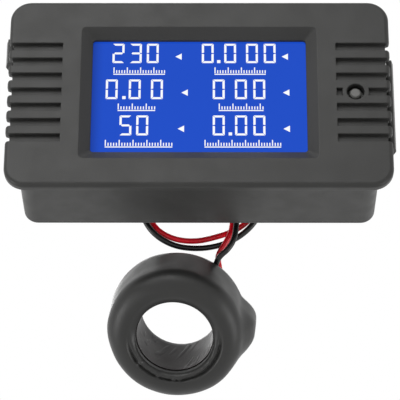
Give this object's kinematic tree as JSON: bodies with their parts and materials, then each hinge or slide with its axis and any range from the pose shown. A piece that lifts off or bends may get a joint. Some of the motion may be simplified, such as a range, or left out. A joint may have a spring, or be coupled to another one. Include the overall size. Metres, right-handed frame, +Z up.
{
  "type": "digital power meter",
  "caption": "Panel-mount digital power meter: wide bezel with grooved ends, sloped display frame, recessed reset button, side snap latches and a ring current transformer on leads.",
  "frame": {"origin": "centre of the panel cut-out, in the plane where the flange seats on the panel", "axes": "+X to the right of a person facing the display, +Y into the panel, away from that person, +Z up"},
  "size_m": [0.0918, 0.0549, 0.0814],
  "materials": {
    "shell_plastic": "fine matt dark grey moulding",
    "display_glass": "blue negative liquid crystal panel",
    "clear_glass": "clear glass",
    "diffuser": "milky film",
    "guide_acrylic": "clear acrylic",
    "white_plastic": "white moulding",
    "lamp": "lamp body",
    "tinned_pin": "tinned wire",
    "board_laminate": "green laminate",
    "zinc_screw": "zinc plated",
    "key_plastic": "grey moulding",
    "switch_plastic": "black moulding",
    "terminal_plastic": "green terminal moulding",
    "clamp_steel": "plated steel",
    "contact_brass": "tinned brass",
    "film_epoxy": "yellow potting box",
    "can_sleeve": "sleeved can",
    "disc_epoxy": "blue dipped coating",
    "chip_epoxy": "moulded epoxy",
    "crystal_can": "drawn can",
    "resistor_coat": "resistor enamel",
    "ring_rubber": "smooth black rubber sleeve",
    "liner_plastic": "black bore liner",
    "winding_copper": "enamelled copper winding",
    "core_alloy": "core alloy",
    "red_insulation": "red insulation",
    "black_insulation": "black insulation"
  },
  "bodies": {
    "housing": {"front_shell": "shell_plastic", "rear_cover": "shell_plastic", "main_board": "board_laminate", "board_screws": "zinc_screw", "cover_screws": "zinc_screw", "display_front_glass": "display_glass", "display_rear_glass": "clear_glass", "rear_polariser": "diffuser", "light_guide": "guide_acrylic", "backlight_tray": "white_plastic", "backlight_lamps": "lamp", "display_pins": "tinned_pin", "tact_switch": "switch_plastic", "terminal_block": "terminal_plastic", "terminal_contacts": "contact_brass", "lead_ferrules": "contact_brass", "film_capacitor": "film_epoxy", "electrolytic_capacitor": "can_sleeve", "varistor": "disc_epoxy", "bridge_rectifier": "chip_epoxy", "metering_chip": "chip_epoxy", "processor_chip": "chip_epoxy", "crystal": "crystal_can", "fuse_resistor": "resistor_coat", "burden_resistor": "resistor_coat", "ct_sleeve": "ring_rubber", "ct_liner": "liner_plastic", "ct_winding": "winding_copper", "ct_core": "core_alloy", "ct_lead_boot": "ring_rubber", "lead_red": "red_insulation", "lead_black": "black_insulation"},
    "button": {"reset_button": "key_plastic", "switch_plunger": "switch_plastic"},
    "left_latch": {"latch_left": "shell_plastic"},
    "right_latch": {"latch_right": "shell_plastic"},
    "screw_1": {"clamp_screw_1": "clamp_steel"},
    "cage_1": {"clamp_cage_1": "clamp_steel"},
    "screw_2": {"clamp_screw_2": "clamp_steel"},
    "cage_2": {"clamp_cage_2": "clamp_steel"},
    "screw_3": {"clamp_screw_3": "clamp_steel"},
    "cage_3": {"clamp_cage_3": "clamp_steel"},
    "screw_4": {"clamp_screw_4": "clamp_steel"},
    "cage_4": {"clamp_cage_4": "clamp_steel"}
  },
  "joints": [
    {"name": "reset_press", "type": "slide", "parent": "housing", "child": "button", "axis": [0, 1, 0], "range_m": [0, 0.00035], "stiffness_N_per_m": 2500},
    {"name": "left_latch_flex", "type": "hinge", "parent": "housing", "child": "left_latch", "pos_m": [-0.0411, 0.0172, 0.0132], "axis": [0, 0, 1], "range_deg": [0, 16], "stiffness_Nm_per_rad": 0.45},
    {"name": "right_latch_flex", "type": "hinge", "parent": "housing", "child": "right_latch", "pos_m": [0.0411, 0.0172, -0.00105], "axis": [0, 0, -1], "range_deg": [0, 16], "stiffness_Nm_per_rad": 0.6},
    {"name": "clamp_1_turn", "type": "hinge", "parent": "housing", "child": "screw_1", "pos_m": [-0.00762, 0.0165, -0.00118], "axis": [0, 1, 0], "range_deg": [0, 1280]},
    {"name": "clamp_1_open", "type": "slide", "parent": "housing", "child": "cage_1", "axis": [0, -1, 0], "range_m": [0, 0.0016]},
    {"name": "clamp_2_turn", "type": "hinge", "parent": "housing", "child": "screw_2", "pos_m": [-0.00254, 0.0165, -0.00118], "axis": [0, 1, 0], "range_deg": [0, 1280]},
    {"name": "clamp_2_open", "type": "slide", "parent": "housing", "child": "cage_2", "axis": [0, -1, 0], "range_m": [0, 0.0016]},
    {"name": "clamp_3_turn", "type": "hinge", "parent": "housing", "child": "screw_3", "pos_m": [0.00254, 0.0165, -0.00118], "axis": [0, 1, 0], "range_deg": [0, 1280]},
    {"name": "clamp_3_open", "type": "slide", "parent": "housing", "child": "cage_3", "axis": [0, -1, 0], "range_m": [0, 0.0016]},
    {"name": "clamp_4_turn", "type": "hinge", "parent": "housing", "child": "screw_4", "pos_m": [0.00762, 0.0165, -0.00118], "axis": [0, 1, 0], "range_deg": [0, 1280]},
    {"name": "clamp_4_open", "type": "slide", "parent": "housing", "child": "cage_4", "axis": [0, -1, 0], "range_m": [0, 0.0016]}
  ],
  "couplings": [
    {"joint": "clamp_1_turn", "follows": "clamp_1_open", "rad_per_m": 13963},
    {"joint": "clamp_2_turn", "follows": "clamp_2_open", "rad_per_m": 13963},
    {"joint": "clamp_3_turn", "follows": "clamp_3_open", "rad_per_m": 13963},
    {"joint": "clamp_4_turn", "follows": "clamp_4_open", "rad_per_m": 13963}
  ]
}
